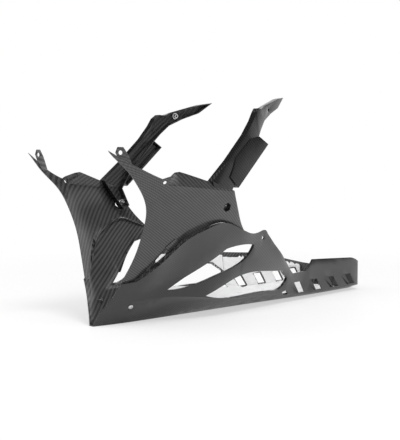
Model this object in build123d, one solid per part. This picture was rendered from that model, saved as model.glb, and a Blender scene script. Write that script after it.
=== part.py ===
from build123d import *
import os

# Motorcycle belly pan, in millimetres.
# X runs forward, Y to the left, Z up; Z = 0 is the flat of the keel the pan stands on.
# Outlines give the distance aft of the nose first, so the nose is at aft 0.

# Driving dimensions
NOSE_X = 375.5
TAIL_AFT = 811.0
TAIL_RADIUS = 30.0
TAIL_SIDE = 87.0
WALL = 2.2
SKIN = 2.4
SEAT_GAP = 0.3
REACH = 260.0
UPPER_HOLE = 7.0
TAB_HOLE = 8.0
EAR_HOLE = 8.0
HEX_HOLE = 17.0
M6_HOLE = 6.6
M6_THREAD = 5.0
SCREW_HOLE = 5.6
SCREW_SHANK = 5.0
ARM_DEPTH = 14.0
LIP_WIDTH = 3.6
LIP_DEPTH = 7.0
FOIL = 0.6

# Front edge of a side panel: aft, half width, height.
FRONT_EDGE = [
    (-74, 126, 345),
    (-37, 124.5, 310),
    (-3, 125.5, 279),
    (23, 121, 249),
    (35, 116, 222),
    (40, 103, 189),
    (38.6, 86, 147),
    (31.4, 67, 107),
    (21, 45, 68),
    (9, 24, 36),
]

# Plan curve the front edge is carried back along: aft, growth in half width.
PLAN_CURVE = [(-15, -8), (0, 0), (50, 23), (100, 35), (160, 44), (220, 49), (300, 52)]

# Long edges of the lower pan, keel to top: aft, half width, height.
KEEL = [(-8, 4, -3), (56, 15, -3), (160, 21, -3), (318, 25, -3), (450, 32, -3), (600, 40, -3), (830, 40, -3)]
CHINE = [
    (-8, 8, 19), (25, 34, 35), (56, 54, 44), (107, 74, 51), (160, 93, 49), (210, 105, 43), (265, 106, 35),
    (330, 103, 31), (424, 98, 27), (516, 91, 17), (600, 88, 12), (700, 87, 12), (830, 85, 12),
]
CREASE = [
    (-8, 20, 47), (25, 45, 58), (56, 65, 63), (107, 79, 73), (160, 100, 90), (210, 121, 102), (265, 130, 110),
    (318, 132, 112), (364, 127, 102), (424, 115, 85), (516, 96, 69), (600, 88, 67), (700, 87, 66), (830, 85, 62),
]
TOP = [
    (-8, 44, 112), (25, 72, 114), (56, 101, 118), (107, 140, 172), (160, 162, 205), (210, 167, 218), (265, 164, 208),
    (318, 146, 190), (364, 139, 190), (424, 130, 142), (516, 94, 112), (600, 75, 108), (700, 76, 106), (830, 76, 104),
]
LONG_EDGES = [KEEL, CHINE, CREASE, TOP]
WALL_INSET = [(-0.5, 5.0), (-2.0, 2.0), (-2.2, 0.4), (-2.4, 8.0)]

# Side outlines: aft and height.
NOSE_RUN = [(-3, 0), (2.3, 18.5), (9, 36), (15, 50), (21, 68), (25.4, 83)]
GILL_RUN = [(25.4, 83), (45, 87)]
SHOULDER_RUN = [(45, 87), (63, 106), (93, 138), (121, 166), (155, 183), (202, 196), (241, 187), (276, 175.5)]
EAR_RUNS = [
    [(276, 175.5), (296, 170.5), (312, 169), (348, 173.5)],
    [(348, 173.5), (358, 173), (366, 166)],
    [(366, 166), (397, 141)],
]
TAIL_LEFT_RUNS = [
    [(397, 141), (505, 66)],
    [(505, 66), (565, 66)],
    [(565, 66), (600, 90)],
    [(600, 90), (760, 83)],
    [(760, 83), (795, 70), (811, 52)],
]
TAIL_RIGHT_RUNS = [[(397, 141), (430, 113), (470, 104)], [(470, 104), (600, 96)], [(600, 96), (811, 52)]]
CHEEK_RUN = [
    (25.4, 83), (31.4, 107), (38.6, 147), (40, 189), (35, 222), (23, 249), (-3, 279), (-37, 310), (-60, 332),
]
RIM_RUNS = [[(-60, 332), (-12, 306), (20, 291), (44, 282)], [(44, 282), (88, 296)], [(88, 296), (219, 259)]]
PANEL_REAR_RUN = [(219, 259), (230, 234), (246, 208), (276, 175.5)]
HUMP_CREASE = [(60, 271), (140, 264), (222, 256.5)]
HUMP_LEAN = 11.0
SLIT = [(50, 88), (104, 142), (98, 157), (90, 151)]
MIDDLE_OPENING_RUNS = [
    [(121, 65), (231, 142)],
    [(231, 142), (257, 146.5), (318, 145)],
    [(318, 145), (292, 114), (226, 89), (151, 66), (121, 65)],
]
LOWER_OPENING_RUNS = [
    [(206, 47), (242, 62), (292, 81), (360, 85), (451, 78)],
    [(451, 78), (481, 58)],
    [(481, 58), (472, 47), (430, 34)],
    [(430, 34), (320, 36), (230, 41), (206, 47)],
]
WINDOW_AFTS = [528, 599.5, 671, 742.5]
WINDOW = [(-13, 44), (13, 44), (32, 18), (6, 18)]
FIRST_WINDOW = [(468, 27), (484, 29), (494, 19), (474, 19)]
LAND = [(-34, 46), (-15, 46), (3, 17)]
LAND_HEIGHT = 5.0

# Arm outlines: aft and height.
ARM_OUTLINE = [
    (159, 277), (209, 317), (266, 369), (291, 398), (303, 416), (314, 425), (326, 424), (350, 432), (417, 452),
    (447, 457), (413, 432), (372, 417), (339, 401), (318, 381), (297, 356), (258, 317), (238, 296), (214, 258),
    (224, 222), (203, 214),
]
ARM_FOOT = [(100, 297.4), (305, 226.6)]
ARM_BEND = 305.0
LEG_NUT = (209, 228)
STRIP_NUT = (362, 424.5)
ARM_TIP = (447, 112, 457)
TAB_PLANE = [(-36, 121.55, 312), (-10, 128.35, 298), (-34, 122.35, 329)]
TAB_OUTLINE = [(-43, 329), (-39, 339), (-29, 339), (-19, 325), (-8, 300), (-20, 296), (-32, 309)]
TAB_EYE = (-34, 329)
STRAP_OUTLINE = [(96, 143), (112, 159), (103, 168), (87, 152)]
STRAP = 1.6
FOIL_SEAT = 0.4
FOIL_FRONT = 488
FOIL_REAR = 776
FOIL_LEFT_TOP = [(776, 58), (488, 58)]
FOIL_RIGHT_TOP = [(776, 52), (600, 88), (488, 94)]
COVER_OUTLINE = [(221, 304), (229, 324), (277, 361), (305, 367), (332, 352), (231, 264), (209, 285)]


def aft(distance, side, height):
    """Point at a distance behind the nose."""
    return Vector(NOSE_X - distance, side, height)


def side_face(*runs):
    """Side-view face bounded by runs of points: a straight line for two points, a spline for more."""
    edges = []
    for run in runs:
        points = [aft(distance, 0, height) for distance, height in run]
        edges.append(Line(*points) if len(points) == 2 else Spline(*points))
    return make_face(edges)


def side_polygon(points):
    """Side-view face with straight edges."""
    return make_face(Polyline(*[aft(distance, 0, height) for distance, height in points], close=True))


def left_prism(face):
    """The side-view face carried out over the left half."""
    return extrude(face, amount=REACH, dir=(0, 1, 0))


def raised(run, height):
    """A run of side-view points moved up."""
    return [(distance, level + height) for distance, level in run]


def grown(runs, margin):
    """An opening's runs with its length and height grown by a margin at each end."""
    points = [point for run in runs for point in run]
    spans = [(min(values), max(values)) for values in zip(*points)]
    centre = [(low + high) / 2 for low, high in spans]
    factor = [1 + 2 * margin / (high - low) for low, high in spans]
    return [[tuple(c + (v - c) * f for v, c, f in zip(point, centre, factor)) for point in run] for run in runs]


def pan_half(insets):
    """Left half volume inside ruled faces that join the pan's long edges, each moved in by its inset."""
    loop = []
    for edge, (dy, dz) in zip(LONG_EDGES, insets):
        points = [aft(distance, side + dy, height + dz) for distance, side, height in edge]
        loop.append(Edge.make_spline(points))
    for edge in (loop[-1], loop[0]):
        ends = [Vector(point.X, 0, point.Z) for point in (edge @ 0, edge @ 1)]
        loop.append(Edge.make_line(*ends))
    faces = []
    for first, second in zip(loop, loop[1:] + loop[:1]):
        faces.append(Face.make_surface_from_curves(first, second))
    for end in (0, 1):
        faces.append(make_face(Polyline(*[edge @ end for edge in loop], close=True)))
    return Solid(Shell(faces))


def plan_prism(inset):
    """Left half seen from above with the tail corner rounded, its tail moved in by the inset."""
    end = NOSE_X - TAIL_AFT + inset
    side = TAIL_SIDE - inset
    radius = TAIL_RADIUS - inset
    corner = [(end + radius, side), (end, side - radius)]
    edges = [
        Line((NOSE_X + 50, 0), (NOSE_X + 50, REACH)),
        Line((NOSE_X + 50, REACH), (end + radius, REACH)),
        Line((end + radius, REACH), corner[0]),
        RadiusArc(corner[0], corner[1], -radius),
        Line(corner[1], (end, 0)),
        Line((end, 0), (NOSE_X + 50, 0)),
    ]
    return extrude(make_face(edges), amount=REACH, both=True)


def slab(points, thickness):
    """Wide plate whose outer face passes through three points, its thickness towards the middle."""
    first, second, third = [aft(*point) for point in points]
    normal = (second - first).cross(third - first)
    if normal.Y < 0:
        normal = normal * -1
    plane = Plane(origin=first, x_dir=second - first, z_dir=normal)
    return plane * Box(900, 900, thickness, align=(Align.CENTER, Align.CENTER, Align.MAX))


def spindle(point, normal, radius, low, high):
    """Round bar along a normal, from one height above the point to another."""
    plane = Plane(origin=point + normal * low, z_dir=normal)
    return plane * Cylinder(radius, high - low, align=(Align.CENTER, Align.CENTER, Align.MIN))


def surface_point(shape, distance, height):
    """Outermost point and outward normal of a shape at a side-view place."""
    hits = shape.find_intersection_points(Axis(aft(distance, 0, height), (0, 1, 0)))
    point, normal = max(hits, key=lambda hit: hit[0].Y)
    return point, normal * (1 if normal.Y > 0 else -1)


def plate_nut(point, normal):
    """Nut plate with a threaded barrel, seated under a web of the wall's thickness."""
    seat = -WALL - SEAT_GAP
    nut = spindle(point, normal, 7, seat - 1.5, seat)
    nut += spindle(point, normal, 5, seat - 8, seat)
    return nut - spindle(point, normal, M6_THREAD / 2, seat - 10, 0)


def deeper(insets, amount):
    """Insets moved further in: the lower two edges rise as well."""
    moved = []
    for level, (dy, dz) in enumerate(insets):
        moved.append((dy - amount, dz + amount if level < 2 else dz))
    return moved


def export_pair(name, left):
    """Writes a piece of the left side and its mirror image."""
    export_step(left, f"parts/{name}_left.step")
    export_step(mirror(left, Plane.XZ), f"parts/{name}_right.step")


os.makedirs("parts", exist_ok=True)

# Side panel skin: the front edge carried back along the plan curve
grid = []
for front in FRONT_EDGE:
    grid.append([aft(*front) + Vector(-back, growth, 0) for back, growth in PLAN_CURVE])
skin_face = Face.make_surface_from_array_of_points(grid, tol=0.2)
skin = extrude(skin_face, amount=SKIN, dir=(0, -1, 0))
outboard = extrude(Pos(0, -SKIN, 0) * skin_face, amount=REACH, dir=(0, 1, 0))

# Side panels: skin below the crease, leaning facet above it, holes and gill slit
seat_run = raised(SHOULDER_RUN, SEAT_GAP)
gill_seat_run = raised(GILL_RUN, SEAT_GAP)
panel_outline = left_prism(
    side_face(
        raised(CHEEK_RUN[:1], SEAT_GAP) + CHEEK_RUN[1:],
        *RIM_RUNS,
        PANEL_REAR_RUN[:-1] + [seat_run[-1]],
        seat_run[::-1],
        gill_seat_run[::-1],
    )
)
hump_top = raised(HUMP_CREASE, 45)
hump_side = left_prism(
    side_face(HUMP_CREASE, [HUMP_CREASE[-1], hump_top[-1]], hump_top[::-1], [hump_top[0], HUMP_CREASE[0]])
)
crease_points = [surface_point(skin_face, *place)[0] for place in HUMP_CREASE]
lean_points = [point + Vector(0, -HUMP_LEAN, 45) for point in crease_points]
hump_face = Face.make_surface_from_curves(Edge.make_spline(crease_points), Edge.make_spline(lean_points))
hump = extrude(hump_face, amount=SKIN, dir=(0, -1, 0))
upper_point, upper_normal = surface_point(skin_face, 51, 275)
hex_point, hex_normal = surface_point(skin_face, 206, 226)
panel = (skin & panel_outline) - hump_side + (hump & panel_outline)
panel -= left_prism(side_polygon(SLIT))
panel -= spindle(upper_point, upper_normal, UPPER_HOLE / 2, -20, 20)
hex_cutter = Plane(origin=hex_point - hex_normal * 20, z_dir=hex_normal) * RegularPolygon(HEX_HOLE / 2, 6, major_radius=False)
panel -= extrude(hex_cutter, amount=40, dir=hex_normal)
export_pair("side_panel", panel)

# Lower pan: hull walls, shoulder return, lipped openings, louvres, ear and screw holes
outer = pan_half([(0, 0)] * 4) & plan_prism(0)
inner = pan_half(WALL_INSET) & plan_prism(WALL)
shell = outer - inner
lowered = raised(SHOULDER_RUN, -3)
gill_lowered = raised(GILL_RUN, -3)
return_side = side_face(
    GILL_RUN,
    SHOULDER_RUN,
    [SHOULDER_RUN[-1], lowered[-1]],
    lowered[::-1],
    gill_lowered[::-1],
    [gill_lowered[0], GILL_RUN[0]],
)
shoulder_return = outer & left_prism(return_side) & outboard
middle_opening = side_face(*MIDDLE_OPENING_RUNS)
lower_opening = side_face(*LOWER_OPENING_RUNS)
lips = None
for runs in (MIDDLE_OPENING_RUNS, LOWER_OPENING_RUNS):
    ring = (left_prism(side_face(*grown(runs, LIP_WIDTH))) & outer) - Pos(0, -LIP_DEPTH, 0) * outer
    lips = ring if lips is None else lips + ring
ear_point, ear_normal = surface_point(outer, 350, 157.5)
screw_point, screw_normal = surface_point(outer, 56, 36)
lands = None
for place in WINDOW_AFTS:
    wall_y = surface_point(outer, place, 30)[0].Y
    front, rear = [NOSE_X - place - LAND[corner][0] for corner in (0, 2)]
    ramp = make_face(Polyline((front, wall_y - 1), (rear, wall_y - 1), (rear, wall_y + LAND_HEIGHT), close=True))
    land = extrude(ramp, amount=80, dir=(0, 0, 1)) & left_prism(
        side_polygon([(place + distance, height) for distance, height in LAND])
    )
    lands = land - inner if lands is None else lands + (land - inner)
cutters = left_prism(middle_opening) + left_prism(lower_opening) + left_prism(side_polygon(FIRST_WINDOW))
for place in WINDOW_AFTS:
    cutters += left_prism(side_polygon([(place + distance, height) for distance, height in WINDOW]))
cutters += spindle(ear_point, ear_normal, EAR_HOLE / 2, -20, 20)
cutters += spindle(screw_point, screw_normal, SCREW_HOLE / 2, -12, 12)


def pan_side(tail_runs):
    """One half of the lower pan with its own tail outline."""
    outline = left_prism(
        side_face(
            NOSE_RUN,
            GILL_RUN,
            SHOULDER_RUN,
            *EAR_RUNS,
            *tail_runs,
            [tail_runs[-1][-1], (TAIL_AFT, 0)],
            [(TAIL_AFT, 0), NOSE_RUN[0]],
        )
    )
    return ((shell + lips) & outline) + shoulder_return + lands - cutters


lower_pan = pan_side(TAIL_LEFT_RUNS) + mirror(pan_side(TAIL_RIGHT_RUNS), Plane.XZ)
export_step(lower_pan, "parts/lower_pan.step")

# Arms: a channel from the leg inside the panel up to the knee, then the rear strip to the tip
arm_plane = [(160, 166.3, 274), (219, 167.8, 259), (314, 155, 426)]
leg_plane = [arm_plane[0], arm_plane[1], (207, 154.8, 224)]
arm_face = side_polygon(ARM_OUTLINE)
arm_rim = arm_face - offset(arm_face, amount=-WALL)
bend_slab = slab(arm_plane, WALL)
bend = [(ARM_BEND, surface_point(bend_slab, ARM_BEND, height)[0].Y, height) for height in (380, 420)]
strip_plane = [*bend, ARM_TIP]
reaches = [
    (leg_plane, [*ARM_FOOT, (ARM_BEND, 150), (100, 150)]),
    (arm_plane, [*ARM_FOOT, (ARM_BEND, 500), (100, 500)]),
    (strip_plane, [(ARM_BEND, 150), (500, 150), (500, 500), (ARM_BEND, 500)]),
]
arm = None
for plane, reach in reaches:
    region = side_polygon(reach)
    piece = slab(plane, WALL) & left_prism(arm_face & region)
    piece += slab(plane, ARM_DEPTH) & left_prism(arm_rim & region)
    arm = piece if arm is None else arm + piece
leg_point, leg_normal = surface_point(slab(leg_plane, WALL), *LEG_NUT)
strip_point, strip_normal = surface_point(slab(strip_plane, WALL), *STRIP_NUT)
arm -= spindle(leg_point, leg_normal, M6_HOLE / 2, -5, 5)
arm -= spindle(strip_point, strip_normal, M6_HOLE / 2, -5, 5)
export_pair("arm", arm)
# Arm covers: a shallow tray outside the lower arm
cover_plane = [(distance, side + WALL + SEAT_GAP, height) for distance, side, height in arm_plane]
cover_face = side_polygon(COVER_OUTLINE)
cover_rim = cover_face - offset(cover_face, amount=-WALL) - offset(arm_face, amount=1)
cover = slab(cover_plane, WALL) & left_prism(cover_face)
cover += slab(cover_plane, ARM_DEPTH) & left_prism(cover_rim)
export_pair("arm_cover", cover)

# Plate nuts inside the leg and the rear strip
export_pair("leg_nut", plate_nut(leg_point, leg_normal))
export_pair("arm_nut", plate_nut(strip_point, strip_normal))

# Front tabs: flat eyes inside the panel tips
tab = slab(TAB_PLANE, WALL) & left_prism(side_polygon(TAB_OUTLINE))
tab_point, tab_normal = surface_point(tab, *TAB_EYE)
tab -= spindle(tab_point, tab_normal, TAB_HOLE / 2, -10, 10)
export_pair("front_tab", tab)

# Gill tabs: small straps on the panels at the end of the slit
strap = extrude(Pos(0, SEAT_GAP, 0) * skin_face, amount=STRAP, dir=(0, 1, 0))
export_pair("gill_tab", strap & left_prism(side_polygon(STRAP_OUTLINE)))

# Nose screws and nuts, one pair through the lower facets
screw = spindle(screw_point, screw_normal, SCREW_SHANK / 2, -10, 1)
screw += spindle(screw_point, screw_normal, SCREW_SHANK, SEAT_GAP, SEAT_GAP + 2.4)
nut = spindle(screw_point, screw_normal, SCREW_SHANK * 0.9, -WALL - 5.6, -WALL - 1.6)
nut -= spindle(screw_point, screw_normal, SCREW_SHANK / 2 + 0.1, -12, 0)
for name, piece in (("nose_screws", screw), ("nose_nuts", nut)):
    export_step(Compound([piece.solid(), mirror(piece, Plane.XZ).solid()]), f"parts/{name}.step")

# Heat foil: thin lining of the tail, kept off the louvres
foil_shell = pan_half(deeper(WALL_INSET, FOIL_SEAT)) - pan_half(deeper(WALL_INSET, FOIL_SEAT + FOIL))
windows = None
for place in WINDOW_AFTS:
    window = left_prism(offset(side_polygon([(place + distance, height) for distance, height in WINDOW]), amount=3))
    windows = window if windows is None else windows + window
for name, top, image in (("heat_foil_left", FOIL_LEFT_TOP, 1), ("heat_foil_right", FOIL_RIGHT_TOP, -1)):
    reach = left_prism(side_polygon([(FOIL_FRONT, 0), (FOIL_REAR, 0), *top]))
    foil = (foil_shell & (Pos(0, FOIL_SEAT, 0) * reach)) - windows
    export_step(foil if image == 1 else mirror(foil, Plane.XZ), f"parts/{name}.step")
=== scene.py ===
import math
from functools import partial

import bmesh
import bpy
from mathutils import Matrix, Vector
from mathutils.bvhtree import BVHTree


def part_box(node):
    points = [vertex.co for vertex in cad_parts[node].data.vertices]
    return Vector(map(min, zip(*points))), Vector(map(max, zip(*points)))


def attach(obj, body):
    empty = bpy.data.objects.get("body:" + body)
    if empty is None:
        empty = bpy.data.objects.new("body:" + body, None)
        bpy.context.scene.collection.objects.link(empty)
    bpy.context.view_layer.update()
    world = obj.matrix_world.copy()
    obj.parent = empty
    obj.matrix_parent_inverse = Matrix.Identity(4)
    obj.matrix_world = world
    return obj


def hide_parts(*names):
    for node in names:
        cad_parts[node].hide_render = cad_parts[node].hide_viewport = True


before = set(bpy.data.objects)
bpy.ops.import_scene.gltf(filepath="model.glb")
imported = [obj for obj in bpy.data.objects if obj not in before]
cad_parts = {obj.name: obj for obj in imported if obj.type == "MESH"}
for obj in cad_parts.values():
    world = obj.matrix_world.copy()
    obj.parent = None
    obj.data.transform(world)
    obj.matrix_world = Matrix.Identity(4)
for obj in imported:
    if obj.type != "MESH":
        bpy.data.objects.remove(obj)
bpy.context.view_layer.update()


# Camera: low, ahead of the nose and to its left, about 1.9 m away.
# Its lens gives 850 pixels of focal length on the 440 pixel side of the picture.
def new_object(name, data):
    """An object of the scene that holds some data."""
    made = bpy.data.objects.new(name, data)
    bpy.context.scene.collection.objects.link(made)
    return made


def aim(thing, place, look):
    """Puts a camera or a lamp at a place, looking one way."""
    thing.location = place
    thing.rotation_mode = "QUATERNION"
    thing.rotation_quaternion = look.to_track_quat("-Z", "Y")


CAMERA_PLACE = Vector((1.4125, 1.2573, 0.2927))
CAMERA_TURN = 0.7543
CAMERA_DIP = 0.055
CAMERA_LENS = 69.55
CAMERA_SENSOR = 36.0
camera_data = bpy.data.cameras.new("camera")
camera_data.lens = CAMERA_LENS
camera_data.sensor_width = CAMERA_SENSOR
camera_data.sensor_fit = "AUTO"
camera = new_object("camera", camera_data)
camera_look = Vector((
    -math.cos(CAMERA_TURN) * math.cos(CAMERA_DIP),
    -math.sin(CAMERA_TURN) * math.cos(CAMERA_DIP),
    -math.sin(CAMERA_DIP),
))
aim(camera, CAMERA_PLACE, camera_look)
bpy.context.scene.camera = camera
bpy.context.scene.view_settings.view_transform = "Standard"


# Lower pan: one carbon moulding from the keel to the shoulders and the tail, laid up in an open mould.
# Its cloth is a two by two twill in dark resin under a clear gloss coat, smooth outside and lumpy inside.
class Flow:
    """A node socket that takes part in sums, and adds nodes to its tree."""

    def __init__(self, tree, socket=None):
        self.tree = tree
        self.socket = socket

    def node(self, kind, settings=None, inputs=None, output=0):
        """Adds a node, sets it, feeds its sockets and gives one of its outputs."""
        made = self.tree.nodes.new(kind)
        for key, value in (settings or {}).items():
            if key == "stops":
                ramp = made.color_ramp
                while len(ramp.elements) < len(value):
                    ramp.elements.new(0.5)
                for element, (place, shade) in zip(ramp.elements, value):
                    element.position = place
                    element.color = (shade, shade, shade, 1.0)
            else:
                setattr(made, key, value)
        for key, value in (inputs or {}).items():
            for item in value if isinstance(value, list) else [value]:
                if isinstance(item, Flow):
                    self.tree.links.new(item.socket, made.inputs[key])
                else:
                    made.inputs[key].default_value = item
        return Flow(self.tree, made.outputs[output])

    def outputs(self):
        """All the outputs of this socket's node."""
        return [Flow(self.tree, socket) for socket in self.socket.node.outputs]

    def math(self, operation, first, second=0.0):
        return self.node("ShaderNodeMath", {"operation": operation}, {0: first, 1: second})

    def __add__(self, other):
        return self.math("ADD", self, other)

    def __radd__(self, other):
        return self.math("ADD", other, self)

    def __sub__(self, other):
        return self.math("SUBTRACT", self, other)

    def __rsub__(self, other):
        return self.math("SUBTRACT", other, self)

    def __mul__(self, other):
        return self.math("MULTIPLY", self, other)

    def __rmul__(self, other):
        return self.math("MULTIPLY", other, self)

    def __truediv__(self, other):
        return self.math("DIVIDE", self, other)

    def __rtruediv__(self, other):
        return self.math("DIVIDE", other, self)

    def __mod__(self, other):
        return self.math("FLOORED_MODULO", self, other)

    def whole(self):
        return self.math("FLOOR", self)

    def below(self, limit):
        return self.math("LESS_THAN", self, limit)

    def at_most(self, limit):
        return self.math("MINIMUM", self, limit)

    def size(self):
        return self.math("ABSOLUTE", self)

    def sign(self):
        return self.math("SIGN", self)

    def root(self):
        return self.math("SQRT", self)

    def mixed(self, low, high):
        """This value as the share between two numbers or flows."""
        return self * (high - low) + low

    def colour(self, low, high):
        """This value as the share between two colours."""
        ends = {0: self, 6: (*low, 1.0), 7: (*high, 1.0)}
        return self.node("ShaderNodeMix", {"data_type": "RGBA"}, ends, 2)

    def vector(self, operation, inputs):
        return self.node("ShaderNodeVectorMath", {"operation": operation}, inputs)

    def noise(self, place, scale, detail):
        """Soft clouds over a place, larger for a smaller scale."""
        return self.node("ShaderNodeTexNoise", inputs={"Vector": place, "Scale": scale, "Detail": detail})


def new_material(name):
    """An empty material with its shader, a flow to build its nodes from and the piece's own coordinates."""
    material = bpy.data.materials.new(name)
    material.use_nodes = True
    shader = material.node_tree.nodes["Principled BSDF"]
    flow = Flow(material.node_tree)
    return material, shader, flow, flow.node("ShaderNodeTexCoord", output="Object")


def feed(shader, name, flow):
    """Joins a flow to one of the shader's sockets."""
    flow.tree.links.new(flow.socket, shader.inputs[name])


NOSE = 0.3755
TOW = 0.0017
INNER_SPREAD = 0.55
CLOTH_SWAY = 0.006
SWAY_SCALE = 9.0
TWILL_REPEAT = 4.0
TWILL_OVER = 1.5
MOTTLE_SCALE = 38.0
RESIN_SCALE = 120.0
OVER_TONE = 0.7
CROWN_SHEEN = 0.15
MOTTLE_TONE = 0.3
OVER_ROUGHNESS = 0.32
UNDER_ROUGHNESS = 0.42
INNER_ROUGHNESS = 0.1
COAT_ROUGHNESS = 0.06
INNER_COAT_LOSS = 0.6
CROWN_RISE = 0.25
CLOTH_RELIEF = 0.0006
CLOTH_STRENGTH = 0.3


def carbon_material(name, dark, pale, inner_sheen_pale, lift, lump, gloss):
    """Clear-coated twill: tows over and under by twos, broader and lumpier on the inner faces.

    Dark and pale are the tones of the tows that pass under and over, and the inner faces get a paler tone,
    a painted sheen that stands in for the highlights on the resin lumps there. Lift is how far the weft
    climbs with width, lump is the height of the resin inside, and gloss is the index of refraction.
    """
    material, shader, flow, place = new_material(name)
    x, y, z = flow.node("ShaderNodeSeparateXYZ", inputs={0: place}).outputs()
    inner = flow.node("ShaderNodeAttribute", {"attribute_name": "inner"}, output="Fac")
    back = NOSE - x
    sway = (flow.noise(place, SWAY_SCALE, 1.0) - 0.5) * CLOTH_SWAY
    tow = TOW * (1.0 + inner * INNER_SPREAD)
    warp_run = ((back * back + y * y).root() + sway) / tow
    weft_run = (z + y.size() * lift + sway) / tow
    warp_cell = warp_run.whole()
    weft_cell = weft_run.whole()
    over = ((warp_cell + y.sign() * weft_cell) % TWILL_REPEAT).below(TWILL_OVER)
    warp_side = (warp_run - warp_cell) * 2.0 - 1.0
    weft_side = (weft_run - weft_cell) * 2.0 - 1.0
    warp_round = 1.0 - warp_side * warp_side
    weft_round = 1.0 - weft_side * weft_side
    crown = over * warp_round + (1.0 - over) * weft_round
    mottle = flow.noise(place, MOTTLE_SCALE, 3.0)
    resin = flow.noise(place, RESIN_SCALE, 4.0)
    # Each tow is painted lighter along its rounded middle: a painted sheen on the tows' crowns.
    tone = over * OVER_TONE + crown * CROWN_SHEEN + mottle * MOTTLE_TONE
    # The inner faces are painted paler than the outside: a painted sheen for the highlights on the resin
    # lumps inside.
    feed(shader, "Base Color", tone.mixed(dark, pale + inner * (inner_sheen_pale - pale)))
    feed(shader, "Roughness", over.mixed(UNDER_ROUGHNESS, OVER_ROUGHNESS) + inner * INNER_ROUGHNESS)
    feed(shader, "Coat Weight", 1.0 - inner * mottle * INNER_COAT_LOSS)
    relief = {
        "Height": crown * CROWN_RISE + resin * inner * lump,
        "Strength": CLOTH_STRENGTH,
        "Distance": CLOTH_RELIEF,
    }
    feed(shader, "Normal", flow.node("ShaderNodeBump", inputs=relief))
    shader.inputs["Metallic"].default_value = 0.0
    shader.inputs["IOR"].default_value = gloss
    shader.inputs["Coat Roughness"].default_value = COAT_ROUGHNESS
    shader.inputs["Coat IOR"].default_value = gloss
    return material


MERGE_DISTANCE = 1e-6
SOFT_ANGLE = math.radians(24)
EDGE_ANGLE = math.radians(40)
EDGE_ROUND = 0.0008
EDGE_STEPS = 2


def merged_copy(name):
    """A copy of a node's mesh without materials, and its joined faces for editing."""
    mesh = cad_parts[name].data.copy()
    mesh.materials.clear()
    shape = bmesh.new()
    shape.from_mesh(mesh)
    bmesh.ops.remove_doubles(shape, verts=shape.verts, dist=MERGE_DISTANCE)
    return mesh, shape


def plain_mesh(piece):
    """Turns a piece's modifiers into a plain mesh, shaded smooth between its sharp edges."""
    bpy.context.view_layer.update()
    evaluated = piece.evaluated_get(bpy.context.evaluated_depsgraph_get())
    finished = bpy.data.meshes.new_from_object(evaluated)
    piece.modifiers.clear()
    piece.data = finished
    finished.name = piece.name
    finished.shade_smooth()
    finished.set_sharp_from_angle(angle=SOFT_ANGLE)
    return finished


def carbon_piece(name, material, edge_round=EDGE_ROUND, addition=None):
    """A moulding that stands for its node, with its cloth, rounded edges and its inner faces marked."""
    mesh, shape = merged_copy(name)
    if addition:
        addition(shape)
    shape.to_mesh(mesh)
    shape.free()
    piece = new_object(name + "_shell", mesh)
    rounding = piece.modifiers.new("rounding", "BEVEL")
    rounding.width = edge_round
    rounding.segments = EDGE_STEPS
    rounding.limit_method = "ANGLE"
    rounding.angle_limit = EDGE_ANGLE
    finished = plain_mesh(piece)
    inward = [1.0 if face.normal.y * face.center.y < 0 else 0.0 for face in finished.polygons]
    finished.attributes.new("inner", "FLOAT", "FACE").data.foreach_set("value", inward)
    finished.materials.append(material)
    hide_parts(name)
    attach(piece, "root")
    return piece


pan_carbon = carbon_material(
    "pan_carbon", dark=0.004, pale=0.016, inner_sheen_pale=0.085, lift=1.0, lump=1.6, gloss=1.39
)
pan = carbon_piece("lower_pan", pan_carbon)

# Side panels: the flared left and right carbon sides, seated on the pan's shoulder return.
# Each has a gill slit, a screw hole under the rim and a hexagonal tool hole.
# Above a crease its upper facet leans inwards, behind the pointed ear that holds the screw hole.
SIDES = {"left": 1, "right": -1}
# Places are distances behind the nose, each with a height, in metres.
FACET_FRONT = 0.0604
FACET_REAR = 0.2200
FACET_CREASE = [(0.060, 0.2710), (0.140, 0.2640), (0.222, 0.2565)]
FACET_RIM = [
    (0.060, 0.2870),
    (0.076, 0.2935),
    (0.088, 0.2955),
    (0.102, 0.2920),
    (0.219, 0.2590),
    (0.222, 0.2580),
]
FACET_SINK = 0.0004
FACET_LEAN = 0.245
FACET_WALL = 0.0024
FACET_BLEND = 0.022
FACET_COLUMNS = 28
FACET_ROWS = 6
CREASE_PROBE = 0.0012
EAR_REAR = 0.0592
EAR_TOP = 0.2860
FAR_OUTSIDE = 0.4


def height_at(run, place):
    """Height of a run of points at a distance behind the nose."""
    for (first, low), (second, high) in zip(run, run[1:]):
        if place <= second:
            return low + (high - low) * (place - first) / (second - first)
    return run[-1][1]


def sheet_border(columns, rows):
    """Numbers of the points round a sheet that is counted column by column."""
    stride = rows + 1
    border = [column * stride for column in range(columns + 1)]
    border += [columns * stride + row for row in range(1, stride)]
    border += [column * stride + rows for column in range(columns - 1, -1, -1)]
    border += list(range(rows - 1, 0, -1))
    return border


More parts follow.
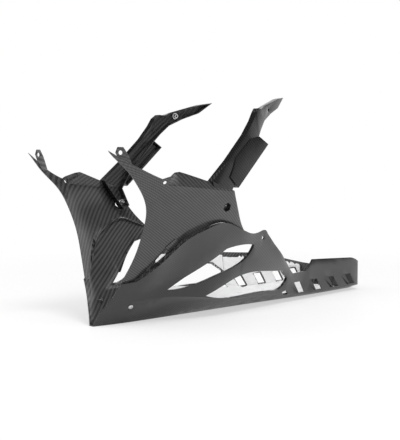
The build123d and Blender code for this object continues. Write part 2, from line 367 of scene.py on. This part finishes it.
def leaning_facet(outward, shape):
    """Adds to a panel the facet that leans inwards above its crease, up to the rim."""
    skin = BVHTree.FromBMesh(shape)
    inward = Vector((0.0, -outward, 0.0))

    def half_width(place, height):
        start = Vector((NOSE - place, outward * FAR_OUTSIDE, height))
        return abs(skin.ray_cast(start, inward)[0].y)

    sheets = ([], [])
    for column in range(FACET_COLUMNS + 1):
        place = FACET_FRONT + (FACET_REAR - FACET_FRONT) * column / FACET_COLUMNS
        low = height_at(FACET_CREASE, place) - FACET_SINK
        high = height_at(FACET_RIM, place)
        crease = half_width(place, low - CREASE_PROBE)
        share = min((place - FACET_FRONT) / FACET_BLEND, 1.0)
        for row in range(FACET_ROWS + 1):
            height = low + (high - low) * row / FACET_ROWS
            flush = half_width(EAR_REAR, min(height, EAR_TOP))
            width = flush + (crease - FACET_LEAN * (height - low) - flush) * share
            for sheet, drop in zip(sheets, (0.0, FACET_WALL)):
                sheet.append(shape.verts.new((NOSE - place, outward * (width - drop), height)))
    stride = FACET_ROWS + 1
    faces = []
    for sheet in sheets:
        for corner in range(FACET_COLUMNS * stride):
            if corner % stride < FACET_ROWS:
                ring = (corner, corner + 1, corner + stride + 1, corner + stride)
                faces.append(shape.faces.new([sheet[number] for number in ring]))
    outer, inner = sheets
    border = sheet_border(FACET_COLUMNS, FACET_ROWS)
    for this, following in zip(border, border[1:] + border[:1]):
        ring = [outer[this], outer[following], inner[following], inner[this]]
        faces.append(shape.faces.new(ring))
    bmesh.ops.recalc_face_normals(shape, faces=faces)


panel_carbon = carbon_material(
    "panel_carbon", dark=0.003, pale=0.055, inner_sheen_pale=0.065, lift=0.3, lump=1.0, gloss=1.40
)
for side, outward in SIDES.items():
    carbon_piece(f"side_panel_{side}", panel_carbon, addition=partial(leaning_facet, outward))

# Arms and their covers: carbon channels that rise behind the panels to the frame.
# A leg inside the panel carries each arm, and a wider cover closes over its middle.
arm_carbon = carbon_material(
    "arm_carbon", dark=0.003, pale=0.016, inner_sheen_pale=0.045, lift=0.6, lump=2.2, gloss=1.28
)
for side in SIDES:
    for name in ("arm", "arm_cover"):
        carbon_piece(f"{name}_{side}", arm_carbon)

# Front tabs and gill tabs: small laid-up carbon pieces, the eyes that take the front screws
# and the straps that close the gill slits. They are thin, so their edges are less round.
TAB_EDGE_ROUND = 0.0003
tab_carbon = carbon_material(
    "tab_carbon", dark=0.010, pale=0.060, inner_sheen_pale=0.090, lift=0.6, lump=1.0, gloss=1.40
)
for side in SIDES:
    for name in ("front_tab", "gill_tab"):
        carbon_piece(f"{name}_{side}", tab_carbon, TAB_EDGE_ROUND)

# Plate nuts: zinc plated steel, a pressed plate with a turned barrel, seated in each leg and rear strip.
# The bore that takes the thread is countersunk, and the far end of the barrel is chamfered.
STEEL_DARK = (0.55, 0.55, 0.56)
STEEL_BRIGHT = (0.80, 0.80, 0.81)
STEEL_ROUGHNESS = (0.22, 0.42)
STEEL_GRAIN_SCALE = 900.0
steel, steel_shader, steel_flow, steel_place = new_material("zinc_steel")
steel_grain = steel_flow.noise(steel_place, STEEL_GRAIN_SCALE, 3.0)
feed(steel_shader, "Base Color", steel_grain.colour(STEEL_DARK, STEEL_BRIGHT))
feed(steel_shader, "Roughness", steel_grain.mixed(*STEEL_ROUGHNESS))
steel_shader.inputs["Metallic"].default_value = 1.0


def new_tree(name, sizes):
    """A Geometry Nodes tree with a geometry input and named sizes, and a flow for each input."""
    tree = bpy.data.node_groups.new(name, "GeometryNodeTree")
    tree.interface.new_socket("Geometry", in_out="INPUT", socket_type="NodeSocketGeometry")
    for label in sizes:
        tree.interface.new_socket(label, in_out="INPUT", socket_type="NodeSocketFloat")
    tree.interface.new_socket("Geometry", in_out="OUTPUT", socket_type="NodeSocketGeometry")
    entry = tree.nodes.new("NodeGroupInput")
    return tree, {socket.name: Flow(tree, socket) for socket in entry.outputs if socket.name}


def close_tree(geometry, material):
    """Ends a tree in real faces with their material."""
    real = geometry.node("GeometryNodeRealizeInstances", inputs={"Geometry": geometry})
    dressed = real.node("GeometryNodeSetMaterial", inputs={"Geometry": real, "Material": material})
    leave = geometry.tree.nodes.new("NodeGroupOutput")
    geometry.tree.links.new(dressed.socket, leave.inputs["Geometry"])


def grow(piece, tree, sizes):
    """Runs a tree on a piece with its sizes, and leaves a plain mesh."""
    growth = piece.modifiers.new("growth", "NODES")
    growth.node_group = tree
    for item in tree.interface.items_tree:
        if item.name in sizes:
            growth[item.identifier] = sizes[item.name]
    plain_mesh(piece)


ROUND_SIDES = 32
HEXAGON_SIDES = 6


def raised(flow, shape, height):
    """A shape moved up by a height."""
    lift = flow.node("ShaderNodeCombineXYZ", inputs={2: height})
    return flow.node("GeometryNodeTransform", inputs={"Geometry": shape, "Translation": lift})


def bar(flow, radius, depth, top, sides=ROUND_SIDES):
    """A round or many-sided bar under a height."""
    sizes = {"Vertices": sides, "Radius": radius, "Depth": depth}
    return raised(flow, flow.node("GeometryNodeMeshCylinder", inputs=sizes), top - depth * 0.5)


def taper(flow, low, high, depth, top):
    """A cone's frustum under a height."""
    sizes = {"Vertices": ROUND_SIDES, "Radius Bottom": low, "Radius Top": high, "Depth": depth}
    return raised(flow, flow.node("GeometryNodeMeshCone", inputs=sizes), top - depth)


def drill(flow, radius, depth):
    """A bar that passes right through a depth below zero, and stands clear at both ends."""
    return bar(flow, radius, depth * 2.0, depth * 0.5)


def joined(flow, *shapes):
    """One closed shape from several that overlap."""
    return flow.node("GeometryNodeMeshBoolean", {"operation": "UNION"}, {"Mesh 2": list(shapes)})


def cut(flow, shape, *cutters):
    """A shape with others taken out of it."""
    meshes = {"Mesh 1": shape, "Mesh 2": list(cutters)}
    return flow.node("GeometryNodeMeshBoolean", {"operation": "DIFFERENCE"}, meshes)


def set_along(flow, shape):
    """The shape on each point of the tree's own geometry, its top along the point's axis."""
    axis = flow.node("GeometryNodeInputNamedAttribute", {"data_type": "FLOAT_VECTOR"}, {"Name": "axis"})
    turn = flow.node("FunctionNodeAlignRotationToVector", {"axis": "Z"}, {"Vector": axis})
    places = {"Points": flow, "Instance": shape, "Rotation": turn}
    return flow.node("GeometryNodeInstanceOnPoints", inputs=places)


SAME_WAY = 0.9999
SAME_LEVEL = 0.00001


def seat(node, outward, depth=0.0):
    """Where a node's fastener sits on one side, at a depth below its outer flat face, and its axis."""
    faces = [
        face
        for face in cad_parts[node].data.polygons
        if face.center.y * outward > 0 and face.normal.y * outward > 0
    ]

    def area_facing(face):
        return sum(other.area for other in faces if other.normal.dot(face.normal) > SAME_WAY)

    axis = max(faces, key=area_facing).normal.copy()
    top = max(face.center.dot(axis) for face in faces if face.normal.dot(axis) > SAME_WAY)
    flat = [face for face in faces if face.center.dot(axis) > top - SAME_LEVEL]
    middle = sum((face.center * face.area for face in flat), Vector()) / sum(face.area for face in flat)
    return middle - axis * depth, axis


def fasteners(node, seats, tree, sizes):
    """A node's fasteners, one on each seat along its axis, grown by a tree."""
    mesh = bpy.data.meshes.new(node + "_seats")
    mesh.from_pydata([place for place, axis in seats], [], [])
    axes = mesh.attributes.new("axis", "FLOAT_VECTOR", "POINT")
    axes.data.foreach_set("vector", [value for place, axis in seats for value in axis])
    piece = new_object(node + "_turned", mesh)
    grow(piece, tree, sizes)
    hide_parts(node)
    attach(piece, "root")


NUT_SIZES = {
    "Plate radius": 0.0070,
    "Plate depth": 0.0015,
    "Barrel radius": 0.0050,
    "Barrel depth": 0.0080,
    "Thread radius": 0.0025,
}
CHAMFER_SHARE = 0.15
CHAMFER_END = 0.86
MOUTH_SHARE = 0.4
MOUTH_PROUD = 0.00001
nut_tree, nut = new_tree("plate_nut", NUT_SIZES)
nut_flow = nut["Geometry"]
nut_straight = nut["Barrel depth"] * (1.0 - CHAMFER_SHARE)
nut_chamfer = nut["Barrel depth"] * CHAMFER_SHARE
nut_plate = bar(nut_flow, nut["Plate radius"], nut["Plate depth"], 0.0)
nut_barrel = bar(nut_flow, nut["Barrel radius"], nut_straight, 0.0)
nut_end = taper(
    nut_flow, nut["Barrel radius"] * CHAMFER_END, nut["Barrel radius"], nut_chamfer, 0.0 - nut_straight
)
nut_bore = drill(nut_flow, nut["Thread radius"], nut["Barrel depth"])
nut_mouth = taper(
    nut_flow,
    nut["Thread radius"],
    nut["Thread radius"] * (1.0 + MOUTH_SHARE),
    nut["Thread radius"] * MOUTH_SHARE,
    MOUTH_PROUD,
)
nut_shape = cut(nut_flow, joined(nut_flow, nut_plate, nut_barrel, nut_end), nut_bore, nut_mouth)
close_tree(set_along(nut_flow, nut_shape), steel)
for name in ("leg_nut", "arm_nut"):
    for side, outward in SIDES.items():
        node = f"{name}_{side}"
        fasteners(node, [seat(node, outward)], nut_tree, NUT_SIZES)

# Nose screws and nuts: zinc plated button screws through the lower facets, one each side.
# Each has a hexagonal socket outside and a hexagonal nut inside.
SCREW_SIZES = {
    "Head radius": 0.0050,
    "Head depth": 0.0024,
    "Shank radius": 0.0025,
    "Shank depth": 0.0107,
    "Socket radius": 0.0020,
}
RIM_SHARE = 0.3
DOME_TOP = 0.68
SHANK_INSIDE = 0.2
SOCKET_PROUD = 1.4
screw_tree, screw = new_tree("button_screw", SCREW_SIZES)
screw_flow = screw["Geometry"]
head_radius = screw["Head radius"]
head_depth = screw["Head depth"]
screw_rim = bar(screw_flow, head_radius, head_depth * RIM_SHARE, head_depth * RIM_SHARE)
screw_dome = taper(
    screw_flow, head_radius, head_radius * DOME_TOP, head_depth * (1.0 - RIM_SHARE), head_depth
)
screw_shank = bar(screw_flow, screw["Shank radius"], screw["Shank depth"], head_depth * SHANK_INSIDE)
screw_socket = bar(
    screw_flow, screw["Socket radius"], head_depth, head_depth * SOCKET_PROUD, HEXAGON_SIDES
)
screw_shape = cut(screw_flow, joined(screw_flow, screw_rim, screw_dome, screw_shank), screw_socket)
close_tree(set_along(screw_flow, screw_shape), steel)
screw_seats = [seat("nose_screws", outward, SCREW_SIZES["Head depth"]) for outward in SIDES.values()]
fasteners("nose_screws", screw_seats, screw_tree, SCREW_SIZES)
HEXAGON_SIZES = {"Corner radius": 0.0045, "Nut depth": 0.0040, "Bore radius": 0.0026}
hexagon_tree, hexagon = new_tree("hexagon_nut", HEXAGON_SIZES)
hexagon_flow = hexagon["Geometry"]
hexagon_body = bar(hexagon_flow, hexagon["Corner radius"], hexagon["Nut depth"], 0.0, HEXAGON_SIDES)
hexagon_bore = drill(hexagon_flow, hexagon["Bore radius"], hexagon["Nut depth"])
close_tree(set_along(hexagon_flow, cut(hexagon_flow, hexagon_body, hexagon_bore)), steel)
hexagon_seats = [seat("nose_nuts", outward) for outward in SIDES.values()]
fasteners("nose_nuts", hexagon_seats, hexagon_tree, HEXAGON_SIZES)

# Heat foil: thin bright aluminium foil stuck inside the pan against the exhaust.
# It is pressed down by hand, so it is creased, and its upper edge is torn.
# It goes on forwards as an apron over the floor and walls, left open where the pan is open.
FOIL_DULL = (0.84, 0.84, 0.85)
FOIL_BRIGHT = (0.97, 0.97, 0.97)
FOIL_ROUGHNESS = (0.32, 0.55)
FOIL_METAL = 0.1
FOIL_RELIEF = 0.001
FOIL_STRENGTH = 0.25
FOIL_CLOUD_SCALE = 26.0
FOIL_GRAIN_SCALE = 260.0
foil, foil_shader, foil_flow, foil_place = new_material("creased_foil")
foil_cloud = foil_flow.noise(foil_place, FOIL_CLOUD_SCALE, 4.0)
foil_grain = foil_flow.noise(foil_place, FOIL_GRAIN_SCALE, 3.0)
foil_relief = {"Height": foil_grain, "Strength": FOIL_STRENGTH, "Distance": FOIL_RELIEF}
feed(foil_shader, "Base Color", foil_cloud.colour(FOIL_DULL, FOIL_BRIGHT))
feed(foil_shader, "Roughness", foil_cloud.mixed(*FOIL_ROUGHNESS))
feed(foil_shader, "Normal", foil_flow.node("ShaderNodeBump", inputs=foil_relief))
foil_shader.inputs["Metallic"].default_value = FOIL_METAL

FOIL_SIZES = {"Crease height": 0.0022, "Crease size": 0.030, "Tear depth": 0.007}
CREASE_SLANT = 0.6
CREASE_STRETCH = (0.4, 1.0, 1.0)
CREASE_SHARPNESS = 5.0
RIDGE_SHARE = 0.6
RIPPLE_SHARE = 0.7
RIPPLES_PER_CREASE = 2.2
TEAR_SCALE = 75.0
foil_tree, sheet = new_tree("hand_creases", FOIL_SIZES)
sheet_flow = sheet["Geometry"]
sheet_place = sheet_flow.node("GeometryNodeInputPosition")
sheet_normal = sheet_flow.node("GeometryNodeInputNormal")
sheet_loose, sheet_torn = (
    sheet_flow.node("GeometryNodeInputNamedAttribute", {"data_type": "FLOAT"}, {"Name": label})
    for label in ("loose", "torn")
)
crease_turn = {"Vector": sheet_place, "Axis": (0.0, 1.0, 0.0), "Angle": CREASE_SLANT}
crease_slanted = sheet_flow.node("ShaderNodeVectorRotate", inputs=crease_turn)
crease_run = sheet_flow.vector("MULTIPLY", {0: crease_slanted, 1: CREASE_STRETCH})
crease_scale = 1.0 / sheet["Crease size"]
crease_cells = sheet_flow.node(
    "ShaderNodeTexVoronoi", {"feature": "DISTANCE_TO_EDGE"}, {"Vector": crease_run, "Scale": crease_scale}
)
ripple = sheet_flow.noise(crease_run, crease_scale * RIPPLES_PER_CREASE, 2.0)
ridge = 1.0 - (crease_cells * CREASE_SHARPNESS).at_most(1.0)
crease_lift = sheet_loose * sheet["Crease height"] * (ridge * RIDGE_SHARE + ripple * RIPPLE_SHARE)
crease_push = sheet_flow.vector("SCALE", {0: sheet_normal, "Scale": crease_lift})
tear = sheet_flow.noise(sheet_place, TEAR_SCALE, 2.0)
tear_fall = sheet_torn * sheet["Tear depth"] * (0.0 - tear)
tear_drop = sheet_flow.node("ShaderNodeCombineXYZ", inputs={2: tear_fall})
sheet_move = sheet_flow.vector("ADD", {0: crease_push, 1: tear_drop})
sheet_moved = {"Geometry": sheet_flow, "Offset": sheet_move}
close_tree(sheet_flow.node("GeometryNodeSetPosition", inputs=sheet_moved), foil)

APRON_FRONT = 0.285
APRON_SEAM = 0.002
APRON_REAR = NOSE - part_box("heat_foil_left")[1].x - APRON_SEAM
APRON_HEART = 0.105
APRON_STEEPEST = 89.0
APRON_SWEEP = 92.0
APRON_REACH = 0.16
APRON_COLUMNS = 34
APRON_ROWS = 30
APRON_LIFT = 0.0022
APRON_WALL = 0.0005
APRON_GAP = 0.013
pan_faces = BVHTree.FromPolygons(
    [vert.co for vert in pan.data.vertices], [face.vertices for face in pan.data.polygons]
)


def foil_apron(shape, outward):
    """Adds the foil's front part, laid against the pan's inner faces by rays from the pan's heart."""
    laid = {}
    for column in range(APRON_COLUMNS + 1):
        place = APRON_FRONT + (APRON_REAR - APRON_FRONT) * column / APRON_COLUMNS
        heart = Vector((NOSE - place, 0.0, APRON_HEART))
        for row in range(APRON_ROWS + 1):
            angle = math.radians(APRON_STEEPEST - APRON_SWEEP * row / APRON_ROWS)
            ray = Vector((0.0, outward * math.cos(angle), -math.sin(angle)))
            spot, normal, _, distance = pan_faces.ray_cast(heart, ray)
            if spot is not None and normal.dot(ray) < 0 and distance < APRON_REACH:
                laid[column, row] = shape.verts.new(spot - ray * APRON_LIFT)
    faces = []
    for column, row in laid:
        corners = ((column, row), (column + 1, row), (column + 1, row + 1), (column, row + 1))
        if not all(corner in laid for corner in corners):
            continue
        ring = [laid[corner] for corner in corners]
        if all((one.co - two.co).length < APRON_GAP for one, two in zip(ring, ring[1:] + ring[:1])):
            face = shape.faces.new(ring)
            face.normal_update()
            middle = face.calc_center_median()
            if face.normal.dot(Vector((0.0, -middle.y, APRON_HEART - middle.z))) < 0:
                face.normal_flip()
            faces.append(face)
    unused = [vert for vert in laid.values() if not vert.link_faces]
    bmesh.ops.delete(shape, geom=unused, context="VERTS")
    bmesh.ops.solidify(shape, geom=faces, thickness=APRON_WALL)


FOIL_STEP = 0.008
FOIL_HALVINGS = 4
FOIL_HEART = 0.12
FOLD_ANGLE = 1.0
TEAR_LEVEL = 0.050


def lay_foil(name, outward):
    """One side's foil, which stands for its node: led forwards, creased where loose and torn on top."""
    mesh, shape = merged_copy(name)
    for _ in range(FOIL_HALVINGS):
        long_edges = [edge for edge in shape.edges if edge.calc_length() > FOIL_STEP]
        bmesh.ops.subdivide_edges(shape, edges=long_edges, cuts=1)
        bmesh.ops.triangulate(shape, faces=[face for face in shape.faces if len(face.verts) > 3])
    foil_apron(shape, outward)
    shape.normal_update()
    folds = [edge for edge in shape.edges if edge.calc_face_angle(0.0) > FOLD_ANGLE]
    borders = {vert for edge in folds for vert in edge.verts}
    loose, torn = [], []
    for vert in shape.verts:
        inward = Vector((0.0, -vert.co.y, FOIL_HEART - vert.co.z))
        loose.append(1.0 if vert not in borders and vert.normal.dot(inward) > 0 else 0.0)
        torn.append(1.0 if vert in borders and vert.co.z > TEAR_LEVEL else 0.0)
    shape.to_mesh(mesh)
    shape.free()
    for label, values in (("loose", loose), ("torn", torn)):
        mesh.attributes.new(label, "FLOAT", "POINT").data.foreach_set("value", values)
    piece = new_object(name + "_sheet", mesh)
    grow(piece, foil_tree, FOIL_SIZES)
    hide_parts(name)
    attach(piece, "root")


for side, outward in SIDES.items():
    lay_foil(f"heat_foil_{side}", outward)

# Floor: a wide white sheet the pan stands on, which fades into the white room behind it.
# It keeps a soft shadow close to the pan.
FLOOR_HALF = 6.0
FLOOR_LEVEL = -0.0005
FLOOR_PAINT = (0.95, 0.95, 0.95, 1.0)
FLOOR_ROUGHNESS = 0.5
WHITE = (1.0, 1.0, 1.0, 1.0)
FADE_START = 0.35
FADE_END = 1.5
START_WHITE = 0.55
GLOSS_LOSS = 1.6
floor_mesh = bpy.data.meshes.new("floor")
floor_corners = [
    (FLOOR_HALF * x, FLOOR_HALF * y, FLOOR_LEVEL) for x, y in ((-1, -1), (1, -1), (1, 1), (-1, 1))
]
floor_mesh.from_pydata(floor_corners, [], [(0, 1, 2, 3)])
floor = new_object("floor", floor_mesh)
floor_material, floor_shader, floor_flow, floor_place = new_material("white_floor")
floor_shader.inputs["Base Color"].default_value = FLOOR_PAINT
floor_shader.inputs["Roughness"].default_value = FLOOR_ROUGHNESS


def white_rays(flow):
    """Marks the rays that see the room, straight or off gloss or glass, and those off gloss alone."""
    path = {output.socket.name: output for output in flow.node("ShaderNodeLightPath").outputs()}
    seen = path["Is Camera Ray"] + path["Is Glossy Ray"] + path["Is Transmission Ray"]
    return seen.at_most(1.0), path["Is Glossy Ray"]


floor_seen, floor_gloss = white_rays(floor_flow)
floor_x, floor_y, _ = floor_flow.node("ShaderNodeSeparateXYZ", inputs={0: floor_place}).outputs()
floor_fade = {
    "Value": (floor_x * floor_x + floor_y * floor_y).root(),
    "From Min": FADE_START,
    "From Max": FADE_END,
    "To Min": START_WHITE,
    "To Max": 1.0,
}
floor_white = floor_flow.node("ShaderNodeMapRange", {"interpolation_type": "SMOOTHSTEP"}, floor_fade)
floor_glow = floor_flow.node("ShaderNodeEmission", inputs={"Color": WHITE, "Strength": 1.0})
floor_share = floor_seen * floor_white * (1.0 - floor_gloss * GLOSS_LOSS * (1.0 - floor_white))
floor_paint = Flow(floor_flow.tree, floor_shader.outputs[0])
floor_mix = floor_flow.node("ShaderNodeMixShader", inputs={0: floor_share, 1: floor_paint, 2: floor_glow})
floor_flow.tree.links.new(floor_mix.socket, floor_flow.tree.nodes["Material Output"].inputs["Surface"])
floor_mesh.materials.append(floor_material)

# World: a white room whose ceiling is dark, so that gloss facing up stays dark.
# All that isn't seen or mirrored gets its light evenly, at a plain level.
CEILING = [(0.0, 1.0), (0.20, 1.0), (0.38, 0.05), (1.0, 0.03)]
ROOM_LIGHT = 0.75
world = bpy.data.worlds.new("studio")
bpy.context.scene.world = world
world.use_nodes = True
world_flow = Flow(world.node_tree)
background = world.node_tree.nodes["Background"]
sky_place = world_flow.node("ShaderNodeTexCoord", output="Generated")
sky_height = world_flow.node("ShaderNodeSeparateXYZ", inputs={0: sky_place}, output=2)
ceiling = world_flow.node("ShaderNodeValToRGB", {"stops": CEILING}, {0: sky_height})
sky_seen, _ = white_rays(world_flow)
feed(background, "Strength", sky_seen * ceiling + (1.0 - sky_seen) * ROOM_LIGHT)
background.inputs["Color"].default_value = WHITE

# Lamps: a soft square panel high on the left, which the gloss shows,
# and a wider and weaker one on the right, which only lifts the shade.
LAMP_TARGET = Vector((0.0, 0.0, 0.1))


def lamp(name, place, width, power, gloss):
    """A square soft panel that faces the middle of the pan."""
    data = bpy.data.lights.new(name, "AREA")
    data.size = width
    data.energy = power
    lit = new_object(name, data)
    aim(lit, place, LAMP_TARGET - Vector(place))
    lit.visible_glossy = gloss


lamp("key_lamp", place=(0.6, 1.4, 2.6), width=1.2, power=44.0, gloss=True)
lamp("fill_lamp", place=(1.6, -1.6, 1.8), width=2.0, power=14.0, gloss=False)
